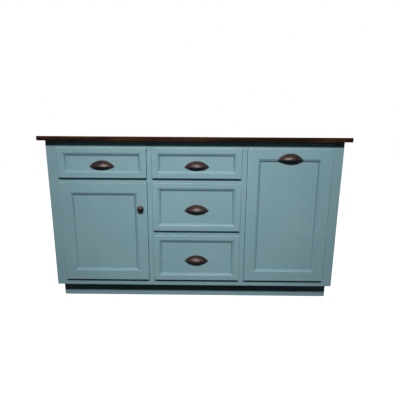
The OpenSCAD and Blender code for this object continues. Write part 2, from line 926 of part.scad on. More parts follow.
// A tapered solid with round corners, between two sizes
module tapered(size0, size1, z, r) {
    thin = 0.01;
    hull() {
        translate([0, 0, z[0]])
            linear_extrude(thin)
                rounded_rectangle([-size0[0] / 2, size0[0] / 2], [-size0[1] / 2, size0[1] / 2], r, $fn = 32);
        translate([0, 0, z[1] - thin])
            linear_extrude(thin)
                rounded_rectangle([-size1[0] / 2, size1[0] / 2], [-size1[1] / 2, size1[1] / 2], r, $fn = 32);
    }
}

// A bin over the middle of its floor
module bin(y) {
    top = bin_size - 2 * bin_rim * [1, 1];
    foot = top - 2 * bin_taper * [1, 1];
    wall = 2 * bin_wall * [1, 1];
    color("dimgray")
        translate([middle(carrier_x), y, bin_floor_z])
            difference() {
                union() {
                    tapered(foot, top, [0, bin_h], bin_corner_r - bin_rim);
                    translate([0, 0, bin_h - bin_rim_h])
                        linear_extrude(bin_rim_h)
                            rounded_rectangle([-bin_size[0] / 2, bin_size[0] / 2],
                                [-bin_size[1] / 2, bin_size[1] / 2], bin_corner_r);
                }
                tapered(foot - wall, top - wall, [bin_wall, bin_h + cut], bin_corner_r - bin_rim - bin_wall);
            }
}

module front_bin() {
    bin(bin_y[0]);
}

module rear_bin() {
    bin(bin_y[1]);
}

module bin_pull() {
    cup_pull(middle(right_x), front_face_y, tall_z[1] + overlay - bin_pull_drop, front_back_y);
}

countertop();
left_side();
right_side();
end_panels();
partitions();
floor_panel();
back_panel();
left_stile();
right_stile();
mullions();
top_rail();
bottom_rail();
drawer_rails();
top_stretchers();
toe_kick();
plinth_supports();
shelf();
shelf_pins();
cabinet_slides();
slide_spacers();
countertop_screws();
hinge_plates();
hinge_links();
hinge_cups();
door_frame();
door_panel();
door_knob();
bin_front_frame();
bin_front_panel();
bin_carrier();
carrier_bottom();
front_bin();
rear_bin();
bin_pull();
slide_runners(right_x, tall_z);  // bin_runners
slide_middles(right_x, tall_z);  // bin_middles
for (d = DRAWERS) {
    drawer_front(d[1], d[2]);
    drawer_box(d[1], d[2]);
    drawer_bottom(d[1], d[2]);
    drawer_pull(d[1], d[2]);
    slide_runners(d[1], d[2]);
    slide_middles(d[1], d[2]);
}
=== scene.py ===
"""Kitchen island unit: the looks of its pieces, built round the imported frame.

Sizes are in metres. X runs along the fronts, the fronts face -Y, and Z points up.
"""
import json
import math

import bmesh
import bpy
from mathutils import Matrix, Vector


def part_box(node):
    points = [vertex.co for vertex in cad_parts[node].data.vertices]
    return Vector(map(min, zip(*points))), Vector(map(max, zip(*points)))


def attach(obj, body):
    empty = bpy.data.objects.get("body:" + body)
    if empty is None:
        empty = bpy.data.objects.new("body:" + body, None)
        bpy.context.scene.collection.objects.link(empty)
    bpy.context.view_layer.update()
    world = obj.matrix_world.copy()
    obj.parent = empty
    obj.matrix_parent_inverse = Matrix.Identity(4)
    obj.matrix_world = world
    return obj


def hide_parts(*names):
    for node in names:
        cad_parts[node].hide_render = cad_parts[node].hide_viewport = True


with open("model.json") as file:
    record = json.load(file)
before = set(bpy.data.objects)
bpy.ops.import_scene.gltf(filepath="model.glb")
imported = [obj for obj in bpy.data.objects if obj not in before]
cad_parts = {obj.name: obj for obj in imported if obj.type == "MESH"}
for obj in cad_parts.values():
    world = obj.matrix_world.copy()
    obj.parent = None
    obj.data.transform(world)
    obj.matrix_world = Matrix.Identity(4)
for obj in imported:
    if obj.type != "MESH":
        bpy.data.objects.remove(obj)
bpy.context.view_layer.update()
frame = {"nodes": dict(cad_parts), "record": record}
BODY_OF = {node: body
           for body, members in frame["record"]["behaviour"]["bodies"].items()
           for node in members}

# Fronts
OVERLAY_EASE = 0.0023      # rounding of a front's outer edges
DRAWER_BORDER = 0.027      # flat border of the drawer fronts
DOOR_BORDER = 0.053        # flat border of the door and of the tall front
MOULDING = 0.016           # width of the moulding inside the border
QUIRK = 0.0012             # step between border and moulding
SLOPE = 0.0090             # width of the moulding's slope, next to the border
SLOPE_DEPTH = 0.0053       # depth at the slope's foot
FILLET = 0.0036            # width of the fall between slope and cove
COVE_DEPTH = 0.0099        # depth at the fall's foot
MOULDING_DEPTH = 0.0100    # depth of the moulding's inner edge
PANEL_DEPTH = 0.0102       # depth of the sunk panel
LOWER_SHARES = (0.25, 0.15)    # how much painted edge highlight and painted shade show along a front's foot
UPPER_SHARES = (1.0, 0.85)     # and along its top

# Cup pulls
PULL_HALF = 0.066          # half a pull's length
PULL_HEIGHT = 0.034
PULL_REACH = 0.030         # reach, and radius of the cup
PULL_WALL = 0.002
PULL_FLANGE = 0.002        # thickness of the flange on the wood
PULL_TIP = 0.0002          # height that a pull keeps at its ends
PULL_SECTIONS = 49
PULL_SCREWS = 0.038        # half the distance between the two screws
PULL_SCREW_LIFT = 0.007    # height of the screws above the lip
PULL_SLEEVE = 0.009        # how far the sleeve round a screw stands in the cup

# Screw heads
SCREW_HEAD = 0.004         # radius
SCREW_HEAD_HEIGHT = 0.0025
SCREW_CROWN = 0.52         # flat top of a head, as a share of its radius
SCREW_SEGMENTS = 24

# Rounding of sharp edges
EASE = 0.0009              # painted boards
PANEL_EASE = 0.0005        # loose panels of the framed fronts
STAVE_EASE = 0.0004        # staves of the top
PLY_EASE = 0.0006          # carcass plywood
BOX_EASE = 0.0011          # walls of the boxes
BOTTOM_EASE = 0.0004       # bottoms of the boxes
SLIDE_EASE = 0.0004
SMALL_EASE = 0.0003        # hinges, pins and screws

# Boxes and bins
BOX_WALL = 0.012
CARRIER_BACK = 0.260       # height of the bin carrier's back wall
BIN_WALL = 0.0025
BIN_RIM = 0.008            # width of the curled rim
BIN_RIM_HEIGHT = 0.012
BIN_TAPER = 0.018          # how far a bin narrows on each side towards its foot
BIN_CORNER = 0.030         # radius of the corners at the rim
BIN_FOOT = 0.006           # rounding between walls and bottom
BIN_FOOT_CORNER = 0.016    # radius of the bottom's corners
CORNER_STEPS = 8

# Wood
STAVES = 6                 # staves in the top
STAVE_SHIFT = 3.3          # each stave's grain starts so far on from the last one's
STAVE_COUNT = 0.31         # turns that shift into a number for each stave
STAVE_START = 0.2          # where the first stave's grain starts
GRAIN_SHIFT = 3.1          # makes the grain of each board start elsewhere
ACROSS_SHIFT = 0.37        # share of that shift across the grain
PLY_LAYERS = 0.003         # thickness of a pair of plywood layers

# Light
FILL = 0.032               # the backdrop's light on matt surfaces
MIRRORED = 0.2             # how much of the backdrop shows in glossy surfaces
LAMP_AHEAD = 1.85          # the front lamp's distance from the face frame
FLOOR_HALF = 8.0
FLOOR_DROP = 0.0005        # how far the floor lies under the unit
WHITE = (1, 1, 1, 1)

# Camera
FRAME_PIXELS = 400
FOCAL_PIXELS = 307.123
SENSOR = 36.0              # millimetres
YAW, PITCH, ROLL = -0.3783, 11.5934, 0.3777
EYE_X, EYE_AHEAD, EYE_Z = 0.040502, 1.587394, 0.91385

SAME = 1e-6                # points nearer than this are one point


# ---- meshes ----

def blank():
    """An empty mesh whose points can hold their place in the wood and their shares of painted edge
    highlight and painted shade.
    """
    bm = bmesh.new()
    bm.verts.layers.float_vector.new("grain")
    bm.verts.layers.float_vector.new("moulded")
    return bm


def keep_flats(obj, keep_sharp):
    """Shades a piece's flat faces flat."""
    even = obj.modifiers.new("flat faces", "WEIGHTED_NORMAL")
    even.keep_sharp = keep_sharp
    even.weight = 100


def eased(obj, width):
    """Rounds a piece's sharp edges and keeps its flats flat."""
    bevel = obj.modifiers.new("eased edges", "BEVEL")
    bevel.width = width
    bevel.segments = 2
    bevel.limit_method = "ANGLE"
    bevel.angle_limit = math.radians(40)
    bevel.use_clamp_overlap = True
    keep_flats(obj, False)


def piece(name, bm, body, finishes, slot, stands_for=None, ease=0.0, sharp=32, crisp=False):
    """A finished piece that rides on a body. Its edges are eased, or shade hard over the sharp angle."""
    bmesh.ops.recalc_face_normals(bm, faces=bm.faces)
    mesh = bpy.data.meshes.new(name)
    bm.to_mesh(mesh)
    bm.free()
    for finish in finishes:
        mesh.materials.append(finish)
    mesh.shade_smooth()
    mesh.set_sharp_from_angle(angle=math.radians(sharp))
    obj = bpy.data.objects.new(name, mesh)
    bpy.context.scene.collection.objects.link(obj)
    if ease:
        eased(obj, ease)
    if crisp:
        keep_flats(obj, True)
    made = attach(obj, body)
    if stands_for:
        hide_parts(stands_for)


def stand_in(node, suffix, bm, finishes, slot, **edges):
    """A finished piece in the place of a CAD node, on that node's body."""
    piece(node + suffix, bm, BODY_OF[node], finishes, slot, node, **edges)


def ring(bm, points):
    return [bm.verts.new(p) for p in points]


def skin(bm, rings, wrap=False):
    """Faces between closed rings of points that lie one behind the other."""
    following = rings[1:] + rings[:1] if wrap else rings[1:]
    for a, b in zip(rings, following):
        for i in range(len(a)):
            j = (i + 1) % len(a)
            bm.faces.new((a[i], a[j], b[j], b[i]))


def cap(bm, points):
    bm.faces.new(points)


def lay_grain(bm, verts, lo, along, through):
    """Gives points their place in the wood: along the grain, across it, and through the layers."""
    layer = bm.verts.layers.float_vector["grain"]
    across = 3 - along - through
    shift = GRAIN_SHIFT * (lo[0] + 2 * lo[1] + 3 * lo[2])
    for v in verts:
        p = v.co - Vector(lo)
        v[layer] = (p[along] + shift, p[across] + ACROSS_SHIFT * shift, p[through])


def board(bm, lo, hi, along=0, through=None):
    """A board between two corners, with its grain along one axis and its layers through another."""
    size = Vector(hi) - Vector(lo)
    if through is None:
        through = min((a for a in range(3) if a != along), key=lambda a: size[a])
    middle = Matrix.Translation((Vector(lo) + Vector(hi)) / 2)
    made = bmesh.ops.create_cube(bm, size=1, matrix=middle @ Matrix.Diagonal((*size, 1)))
    lay_grain(bm, made["verts"], lo, along, through)
    return made["verts"]


def prism(bm, outline, x0, x1, lo, along, through):
    """A board of any outline in Y and Z, from x0 to x1."""
    a = ring(bm, [(x0, y, z) for y, z in outline])
    b = ring(bm, [(x1, y, z) for y, z in outline])
    skin(bm, [a, b])
    cap(bm, a)
    cap(bm, b)
    lay_grain(bm, a + b, lo, along, through)


def solids(node):
    """Lowest and highest corner of each separate solid of a CAD node, from left to right."""
    bm = bmesh.new()
    bm.from_mesh(frame["nodes"][node].data)
    bmesh.ops.remove_doubles(bm, verts=bm.verts, dist=SAME)
    left, found = set(bm.verts), []
    while left:
        grown, edge = set(), {left.pop()}
        while edge:
            grown |= edge
            edge = {e.other_vert(v) for v in edge for e in v.link_edges} - grown
        left -= grown
        found.append(tuple(Vector(pick(v.co[a] for v in grown) for a in range(3)) for pick in (min, max)))
    bm.free()
    return sorted(found, key=lambda box: tuple(box[0]))


def facing(centre, forward):
    """A place whose height points forward, out of the fronts, or backward."""
    return Matrix.Translation(centre) @ Matrix.Rotation(math.radians(90 if forward else -90), 4, "X")


def turned(bm, place, profile, segments):
    """A turned shape from a profile of (radius, height) points. A point on the axis closes it."""
    rings = []
    for radius, height in profile:
        count = 1 if radius < SAME else segments
        rings.append(ring(bm, [place @ Vector((radius * math.cos(a), radius * math.sin(a), height))
                               for a in (2 * math.pi * i / segments for i in range(count))]))
    for a, b in zip(rings, rings[1:]):
        for i in range(segments):
            j = (i + 1) % segments
            corners = [a[i % len(a)], a[j % len(a)], b[j % len(b)], b[i % len(b)]]
            unique = list(dict.fromkeys(corners))
            if len(unique) > 2:
                bm.faces.new(unique)


def arc(centre, radius, start, end, steps):
    """Points of an arc in a plane, from one angle to another, in degrees."""
    return [(centre[0] + radius * math.cos(math.radians(start + (end - start) * i / steps)),
             centre[1] + radius * math.sin(math.radians(start + (end - start) * i / steps)))
            for i in range(steps + 1)]


# ---- shader helpers ----

def put(tree, kind, inputs=(), **settings):
    """Adds a shader node. Inputs that are sockets are linked, and the others are set."""
    made = tree.nodes.new("ShaderNode" + kind)
    for key, value in settings.items():
        setattr(made, key, value)
    for key, value in dict(inputs).items():
        fill(tree, made.inputs[key], value)
    return made


def fill(tree, socket, value):
    """Links an input to another node's output, or sets it."""
    if isinstance(value, bpy.types.NodeSocket):
        tree.links.new(value, socket)
    else:
        socket.default_value = value


def colour(sr, sg, sb):
    """A linear colour from the 0-255 values of a picture."""
    return tuple(((c / 255 + 0.055) / 1.055) ** 2.4 if c > 10 else c / 255 / 12.92
                 for c in (sr, sg, sb)) + (1.0,)


def maths(tree, operation, a, b=0.0):
    return put(tree, "Math", {0: a, 1: b}, operation=operation).outputs[0]


def times(tree, a, b):
    return maths(tree, "MULTIPLY", a, b)


def plus(tree, a, b):
    return maths(tree, "ADD", a, b)


def spread(tree, value, low, high, to_low=0.0, to_high=1.0):
    """Maps a value from one range to another and clamps it."""
    return put(tree, "MapRange", {"Value": value, "From Min": low, "From Max": high,
                                  "To Min": to_low, "To Max": to_high}).outputs["Result"]


def blend_colours(tree, factor, a, b):
    mix = put(tree, "Mix", {"Factor": factor}, data_type="RGBA")
    fill(tree, mix.inputs[6], a)
    fill(tree, mix.inputs[7], b)
    return mix.outputs[2]


def two_tones(tree, value, low, low_colour, high, high_colour):
    """A ramp between two colours. More stops can be added to it."""
    ramp = put(tree, "ValToRGB", {"Fac": value})
    stops = ramp.color_ramp.elements
    stops[0].position, stops[0].color = low, low_colour
    stops[1].position, stops[1].color = high, high_colour
    return ramp.outputs[0], stops


def shared_effect(name, inputs, outputs):
    """A node group of named inputs (name, default) and outputs (name, type), and its two ends."""
    group = bpy.data.node_groups.new(name, "ShaderNodeTree")
    for label, default in inputs:
        socket = group.interface.new_socket(label, in_out="INPUT", socket_type="NodeSocketFloat")
        socket.default_value = default
    for label, kind in outputs:
        group.interface.new_socket(label, in_out="OUTPUT", socket_type="NodeSocket" + kind)
    return group, group.nodes.new("NodeGroupInput").outputs, group.nodes.new("NodeGroupOutput").inputs


def use(tree, group, **inputs):
    """Places a shared effect in a material, with its own values."""
    made = tree.nodes.new("ShaderNodeGroup")
    made.node_tree = group
    for key, value in inputs.items():
        fill(tree, made.inputs[key], value)
    return made.outputs


def finish_of(name, **fixed):
    """A new material with its own surface shader, and that shader's fixed values."""
    material = bpy.data.materials.new(name)
    material.use_nodes = True
    tree = material.node_tree
    tree.nodes.clear()
    surface = put(tree, "BsdfPrincipled", {key.replace("_", " "): value for key, value in fixed.items()})
    output = put(tree, "OutputMaterial")
    tree.links.new(surface.outputs[0], output.inputs["Surface"])
    return material, tree, surface.inputs


def bump(tree, surface, height, distance, strength=1.0):
    made = put(tree, "Bump", {"Height": height, "Distance": distance, "Strength": strength})
    tree.links.new(made.outputs[0], surface["Normal"])


# ---- effects that finishes share ----

def make_wear_and_shade():
    """Masks of the outer edges, scuffed in patches, and of painted shade in the hollows, where less light
    reaches.
    """
    group, given, out = shared_effect(
        "edge wear", [("Width", 0.001), ("Depth", 0.005), ("Breakup", 60.0), ("Evenness", 0.0)],
        [("Edge", "Float"), ("Hollow", "Float")])
    place = put(group, "TexCoord").outputs["Object"]
    normal = put(group, "NewGeometry").outputs["Normal"]
    rounded = put(group, "Bevel", {"Radius": given["Width"]}, samples=4).outputs[0]
    turn = put(group, "VectorMath", {0: rounded, 1: normal}, operation="DOT_PRODUCT").outputs["Value"]
    bend = spread(group, turn, 0.995, 0.8)
    around = put(group, "AmbientOcclusion", {"Distance": given["Depth"]}, samples=6, only_local=True)
    openness = around.outputs["AO"]
    noise = put(group, "TexNoise", {"Vector": place, "Scale": given["Breakup"], "Detail": 4.0})
    patches = spread(group, noise.outputs["Fac"], 0.45, 0.62)
    patches = maths(group, "MAXIMUM", patches, given["Evenness"])
    # The fronts hold their own shares of painted edge highlight (X) and painted shade (Y), and Z is 1 there
    stored = put(group, "Attribute", attribute_name="moulded").outputs["Vector"]
    moulded = put(group, "SeparateXYZ", {0: stored}).outputs
    plain = maths(group, "SUBTRACT", 1.0, moulded["Z"])
    outer = times(group, times(group, bend, spread(group, openness, 0.84, 0.98)), plain)
    # Painted shade: the hollow mask darkens where the surroundings hide the light
    hollow = times(group, spread(group, openness, 0.96, 0.55), plain)
    group.links.new(times(group, plus(group, outer, moulded["X"]), patches), out["Edge"])
    group.links.new(plus(group, hollow, moulded["Y"]), out["Hollow"])
    return group


def make_wood():
    """Wood grain in the board's own directions: growth rings, fine pores, a height and the place."""
    group, given, out = shared_effect(
        "wood grain", [("Stretch", 14.0), ("Scale", 24.0), ("Pores", 1.0)],
        [("Tone", "Float"), ("Pore", "Float"), ("Height", "Float"), ("Place", "Vector")])
    place = put(group, "Attribute", attribute_name="grain").outputs["Vector"]
    shorter = maths(group, "DIVIDE", 1.0, given["Stretch"])
    squeeze = put(group, "CombineXYZ", {"X": shorter, "Y": 1.0, "Z": 1.0}).outputs[0]
    long = put(group, "VectorMath", {0: place, 1: squeeze}, operation="MULTIPLY").outputs[0]
    drift = put(group, "TexNoise", {"Vector": long, "Scale": times(group, given["Scale"], 0.25),
                                    "Detail": 3.0, "Roughness": 0.5}).outputs["Fac"]
    across = put(group, "SeparateXYZ", {0: long}).outputs["Y"]
    rings = plus(group, times(group, across, given["Scale"]), times(group, drift, 9.0))
    wave = maths(group, "ABSOLUTE", maths(group, "SINE", times(group, rings, 3.14159)))
    cloud = put(group, "TexNoise", {"Vector": long, "Scale": times(group, given["Scale"], 3.0),
                                    "Detail": 5.0, "Roughness": 0.62}).outputs["Fac"]
    tone = plus(group, times(group, wave, 0.45), times(group, cloud, 0.55))
    fibre = put(group, "VectorMath", {0: place, 1: (0.03, 1.0, 1.0)}, operation="MULTIPLY").outputs[0]
    pores = put(group, "TexNoise", {"Vector": fibre, "Scale": 900.0, "Detail": 2.0}).outputs["Fac"]
    pore = times(group, spread(group, pores, 0.56, 0.72), given["Pores"])
    group.links.new(tone, out["Tone"])
    group.links.new(pore, out["Pore"])
    group.links.new(maths(group, "SUBTRACT", times(group, tone, 0.3), pore), out["Height"])
    group.links.new(place, out["Place"])
    return group


def make_film():
    """A film's fine unevenness: a slow tone, a fine tone and the height of its orange peel."""
    group, given, out = shared_effect(
        "sprayed film", [("Scale", 1.0)], [("Slow", "Float"), ("Fine", "Float"), ("Height", "Float")])
    place = put(group, "TexCoord").outputs["Object"]
    for label, scale, detail in (("Slow", 3.5, 3.0), ("Fine", 45.0, 5.0), ("Height", 420.0, 2.0)):
        noise = put(group, "TexNoise", {"Vector": place, "Scale": times(group, given["Scale"], scale),
                                        "Detail": detail})
        group.links.new(noise.outputs["Fac"], out[label])
    return group


# ---- finishes ----

WEAR_AND_SHADE, WOOD, FILM = make_wear_and_shade(), make_wood(), make_film()


def teal_paint():
    """Dusty blue-green satin paint, sprayed and even. Its edges are lighter, a painted highlight with a
    little rubbing, and its hollows darker, painted shade.
    """
    material, tree, surface = finish_of("teal paint", Specular_IOR_Level=0.22)
    film, wear_and_shade = use(tree, FILM), use(tree, WEAR_AND_SHADE, Width=0.0014, Depth=0.008, Evenness=0.8)
    slow, fine = spread(tree, film["Slow"], 0.3, 0.7), spread(tree, film["Fine"], 0.35, 0.75, 0.0, 0.25)
    base = blend_colours(tree, slow, colour(114, 145, 153), colour(121, 151, 159))
    base = blend_colours(tree, fine, base, colour(107, 138, 146))
    # Painted shade in the hollows
    base = blend_colours(tree, times(tree, wear_and_shade["Hollow"], 0.65), base, colour(60, 89, 98))
    # Painted highlight along the edges, lightly broken up
    base = blend_colours(tree, times(tree, wear_and_shade["Edge"], 0.6), base, colour(158, 186, 192))
    tree.links.new(base, surface["Base Color"])
    tree.links.new(spread(tree, film["Fine"], 0.2, 0.8, 0.48, 0.56), surface["Roughness"])
    bump(tree, surface, film["Height"], 0.00003)
    return material


def stained_top():
    """Dark brown stain on edge-glued staves, under a satin clear coat."""
    material, tree, surface = finish_of(
        "stained wood", Coat_Weight=0.25, Coat_Roughness=0.18, Specular_IOR_Level=0.03)
    wood, wear_and_shade = use(tree, WOOD, Stretch=16.0, Scale=34.0), use(tree, WEAR_AND_SHADE, Width=0.0015, Breakup=28.0)
    along = put(tree, "SeparateXYZ", {0: wood["Place"]}).outputs["X"]
    blotch = put(tree, "TexNoise", {"Vector": wood["Place"], "Scale": 13.0, "Detail": 4.0}).outputs["Fac"]
    number = maths(tree, "FLOOR", times(tree, along, STAVE_COUNT))
    stave = put(tree, "TexWhiteNoise", {"W": number}, noise_dimensions="1D").outputs["Value"]
    tone = plus(tree, times(tree, wood["Tone"], 0.6), times(tree, stave, 0.2))
    tone = plus(tree, tone, times(tree, blotch, 0.4))
    stain, stops = two_tones(tree, tone, 0.44, colour(16, 7, 4), 0.88, colour(74, 40, 18))
    stops.new(0.57).color = colour(28, 13, 6)
    stops.new(0.71).color = colour(47, 23, 10)
    base = blend_colours(tree, times(tree, wood["Pore"], 0.6), stain, colour(18, 9, 6))
    base = blend_colours(tree, times(tree, wear_and_shade["Edge"], 0.2), base, colour(70, 39, 22))
    tree.links.new(base, surface["Base Color"])
    tree.links.new(spread(tree, wood["Tone"], 0.2, 0.9, 0.42, 0.3), surface["Roughness"])
    bump(tree, surface, wood["Height"], 0.00012)
    return material


def birch_ply():
    """Clear-coated birch plywood: pale faces, and its layers on the edges."""
    material, tree, surface = finish_of("birch plywood", Coat_Weight=0.12, Coat_Roughness=0.35)
    wood = use(tree, WOOD, Stretch=22.0, Scale=16.0, Pores=0.6)
    through = put(tree, "SeparateXYZ", {0: wood["Place"]}).outputs["Z"]
    face, _ = two_tones(tree, wood["Tone"], 0.3, colour(196, 164, 122), 0.85, colour(226, 200, 160))
    layers = maths(tree, "FRACT", plus(tree, times(tree, through, 1 / PLY_LAYERS), 0.25))
    layer = spread(tree, maths(tree, "ABSOLUTE", maths(tree, "SUBTRACT", layers, 0.5)), 0.22, 0.28)
    base = blend_colours(tree, times(tree, layer, 0.75), colour(148, 104, 66), face)
    base = blend_colours(tree, times(tree, wood["Pore"], 0.35), base, colour(150, 112, 74))
    tree.links.new(base, surface["Base Color"])
    tree.links.new(spread(tree, wood["Tone"], 0.2, 0.9, 0.5, 0.38), surface["Roughness"])
    bump(tree, surface, wood["Height"], 0.00006)
    return material


def dark_bronze():
    """Oil-rubbed bronze under wax: nearly black brown, rubbed to red-brown in patches, redder on upward
    faces as painted light, with painted shade in its hollows.
    """
    material, tree, surface = finish_of("dark bronze", Metallic=0.5, Coat_Weight=0.6, Coat_Roughness=0.42)
    film, wear_and_shade = use(tree, FILM, Scale=18.0), use(tree, WEAR_AND_SHADE, Width=0.0016, Depth=0.006)
    normal = put(tree, "NewGeometry").outputs["Normal"]
    upward = put(tree, "SeparateXYZ", {0: normal}).outputs["Z"]
    # Painted light from above: upward faces show more of the red-brown
    lit_from_above = spread(tree, upward, -0.1, 0.6, 0.3, 1.0)
    rubbed = times(tree, spread(tree, film["Slow"], 0.4, 0.64), lit_from_above)
    base = blend_colours(tree, rubbed, colour(24, 16, 14), colour(80, 40, 28))
    base = blend_colours(tree, times(tree, wear_and_shade["Edge"], 0.3), base, colour(88, 52, 40))
    # Painted shade: near black in the hollows, round the cup's foot
    base = blend_colours(tree, times(tree, wear_and_shade["Hollow"], 0.9), base, colour(12, 9, 9))
    tree.links.new(base, surface["Base Color"])
    tree.links.new(spread(tree, film["Fine"], 0.3, 0.7, 0.5, 0.62), surface["Roughness"])
    bump(tree, surface, film["Height"], 0.00002)
    return material


def plated_steel(name, tone, rough):
    """Rolled and plated steel, faintly brushed along the part."""
    material, tree, surface = finish_of(name, Metallic=1.0)
    film, wear_and_shade = use(tree, FILM, Scale=3.0), use(tree, WEAR_AND_SHADE, Width=0.0006, Breakup=200.0)
    place = put(tree, "TexCoord").outputs["Object"]
    drawn = put(tree, "Mapping", {"Vector": place, "Scale": (1.0, 0.02, 1.0)}).outputs[0]
    lines = put(tree, "TexNoise", {"Vector": drawn, "Scale": 700.0, "Detail": 3.0}).outputs["Fac"]
    dull = tuple(0.72 * c for c in tone[:3]) + (1.0,)
    base = blend_colours(tree, spread(tree, film["Slow"], 0.3, 0.7, 0.0, 0.6), tone, dull)
    base = blend_colours(tree, times(tree, wear_and_shade["Edge"], 0.4), base, (0.8, 0.8, 0.8, 1.0))
    tree.links.new(base, surface["Base Color"])
    tree.links.new(spread(tree, lines, 0.3, 0.7, rough - 0.07, rough + 0.07), surface["Roughness"])
    bump(tree, surface, lines, 0.00002)
    return material


def moulded_plastic():
    """Dark grey plastic with a fine moulded texture."""
    material, tree, surface = finish_of("moulded plastic", Specular_IOR_Level=0.45)
    film, wear_and_shade = use(tree, FILM), use(tree, WEAR_AND_SHADE, Width=0.0015, Breakup=60.0)
    base = blend_colours(tree, spread(tree, film["Fine"], 0.3, 0.7), colour(82, 84, 86), colour(94, 96, 98))
    base = blend_colours(tree, times(tree, wear_and_shade["Edge"], 0.35), base, colour(134, 136, 138))
    tree.links.new(base, surface["Base Color"])
    tree.links.new(spread(tree, film["Slow"], 0.3, 0.7, 0.5, 0.62), surface["Roughness"])
    place = put(tree, "TexCoord").outputs["Object"]
    cells = put(tree, "TexVoronoi", {"Vector": place, "Scale": 900.0}, feature="SMOOTH_F1")
    bump(tree, surface, cells.outputs["Distance"], 0.00008, 0.6)
    return material


PAINT = teal_paint()
TOP = stained_top()
BIRCH = birch_ply()
BRONZE = dark_bronze()
ZINC = plated_steel("zinc plate", (0.52, 0.53, 0.55, 1.0), 0.34)
NICKEL = plated_steel("nickel plate", (0.62, 0.6, 0.56, 1.0), 0.24)
PLASTIC = moulded_plastic()


# ---- straight boards ----

def boards(node, finish, along, slot, ease=EASE):
    """Boards in place of a CAD node whose solids are all plain boards."""
    bm = blank()
    for lo, hi in solids(node):
        board(bm, lo, hi, along)
    stand_in(node, "_boards", bm, [finish], slot, ease=ease)


def notched_panels(node, finish, slot, ease=EASE):
    """Upright panels cut back for the toe space, with their grain upright and their toe edges painted."""
    bm = blank()
    toe_back, toe_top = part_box("toe_kick")[0].y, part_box("bottom_rail")[0].z
    for lo, hi in solids(node):
        outline = [(lo.y, toe_top), (toe_back, toe_top), (toe_back, lo.z),
                   (hi.y, lo.z), (hi.y, hi.z), (lo.y, hi.z)]
        prism(bm, outline, lo.x, hi.x, lo, 2, 0)
    for face in bm.faces:
        if abs(face.calc_center_median().y - toe_back) < 10 * SAME:
            face.material_index = 1
    stand_in(node, "_boards", bm, [finish, PAINT], slot, ease=ease)


def countertop():
    """The top: staves glued edge to edge, with an eased edge all round."""
    lo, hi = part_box("countertop")
    depth = (hi.y - lo.y) / STAVES
    bm = blank()
    layer = bm.verts.layers.float_vector["grain"]
    cuts = [lo.y + i * depth for i in range(STAVES + 1)]
    for i, (y0, y1) in enumerate(zip(cuts, cuts[1:])):
        for v in board(bm, (lo.x, y0, lo.z), (hi.x, y1, hi.z), 0, 2):
            v[layer].x = v.co.x - lo.x + STAVE_SHIFT * i + STAVE_START
    stand_in("countertop", "_staves", bm, [TOP], "stained_wood", ease=STAVE_EASE)


def face_frame():
    """The painted stiles and rails, and the toe board."""
    for node, along in (("left_stile", 2), ("right_stile", 2), ("mullions", 2), ("top_rail", 0),
                        ("bottom_rail", 0), ("drawer_rails", 0), ("toe_kick", 0)):
        boards(node, PAINT, along, "painted_wood")


def carcass():
    """The end panels and back, which are painted, and the plywood boards between them."""
    notched_panels("end_panels", PAINT, "painted_wood")
    for node in ("left_side", "right_side"):
        notched_panels(node, BIRCH, "carcass_plywood", PLY_EASE)
    boards("back_panel", PAINT, 0, "painted_wood")
    for node, along in (("top_stretchers", 0), ("partitions", 2), ("floor_panel", 0),
                        ("plinth_supports", 1), ("shelf", 0), ("slide_spacers", 1)):
        boards(node, BIRCH, along, "carcass_plywood", PLY_EASE)


# ---- fronts ----

def moulding_profile(border):
    """A front's face from its edge in to the sunk panel.

    Each point is (distance in, depth, share of painted edge highlight, share of painted shade).
    """
    e = OVERLAY_EASE
    fall, inner = border + SLOPE, border + MOULDING
    foot = fall + FILLET
    drop, plunge = SLOPE_DEPTH - QUIRK, COVE_DEPTH - SLOPE_DEPTH
    # The rounded edge holds a painted highlight; the step, slope, cove and lip hold painted shade, most at
    # the cove
    rounding = [(x, y, 1.0, 0.0) for x, y in arc((e, e), e, 180, 270, 7)]
    step = [(border - 0.0006, 0.0, 0.0, 0.0), (border - 0.0001, 0.0002, 0.0, 0.0),
            (border + 0.0001, QUIRK - 0.0003, 0.0, 0.1), (border + 0.0005, QUIRK, 0.0, 0.2)]
    slope = [(border + along * SLOPE, QUIRK + down * drop, 0.0, hollow)
             for along, down, hollow in ((0.3, 0.27, 0.2), (0.6, 0.58, 0.2), (0.85, 0.84, 0.25))]
    cove = [(fall + along * FILLET, SLOPE_DEPTH + down * plunge, 0.0, hollow)
            for along, down, hollow in ((0.3, 0.33, 0.7), (0.65, 0.71, 0.9))]
    lip = [(foot, COVE_DEPTH, 0.0, 1.0), (foot + 0.0012, MOULDING_DEPTH - 0.0001, 0.0, 1.0),
           (inner - 0.0004, MOULDING_DEPTH, 0.0, 0.9), (inner - 0.0001, MOULDING_DEPTH + 0.0001, 0.0, 0.9),
           (inner, PANEL_DEPTH - 0.0001, 0.0, 0.9)]
    return ([(0.0, e + 0.001, 0.0, 0.0)] + rounding + [(e + 0.0008, 0.0, 0.0, 0.0)]
            + step + slope + [(fall, SLOPE_DEPTH, 0.0, 0.4)] + cove + lip)


def front_rings(bm, lo, hi, profile):
    """A ring of four corners for each point of a profile. Its painted edge highlight and painted shade show
    most along a front's top.
    """
    layer, rings = bm.verts.layers.float_vector["moulded"], []
    for inset, depth, edge, hollow in profile:
        left, right = lo.x + inset, hi.x - inset
        foot, top = lo.z + inset, hi.z - inset
        corners = ring(bm, [(x, lo.y + depth, z) for x, z in (
            (left, foot), (right, foot), (right, top), (left, top))])
        for v, (highlight_share, shade_share) in zip(corners, (LOWER_SHARES, LOWER_SHARES, UPPER_SHARES, UPPER_SHARES)):
            v[layer] = (highlight_share * edge, shade_share * hollow, 1.0)
        rings.append(corners)
    return rings


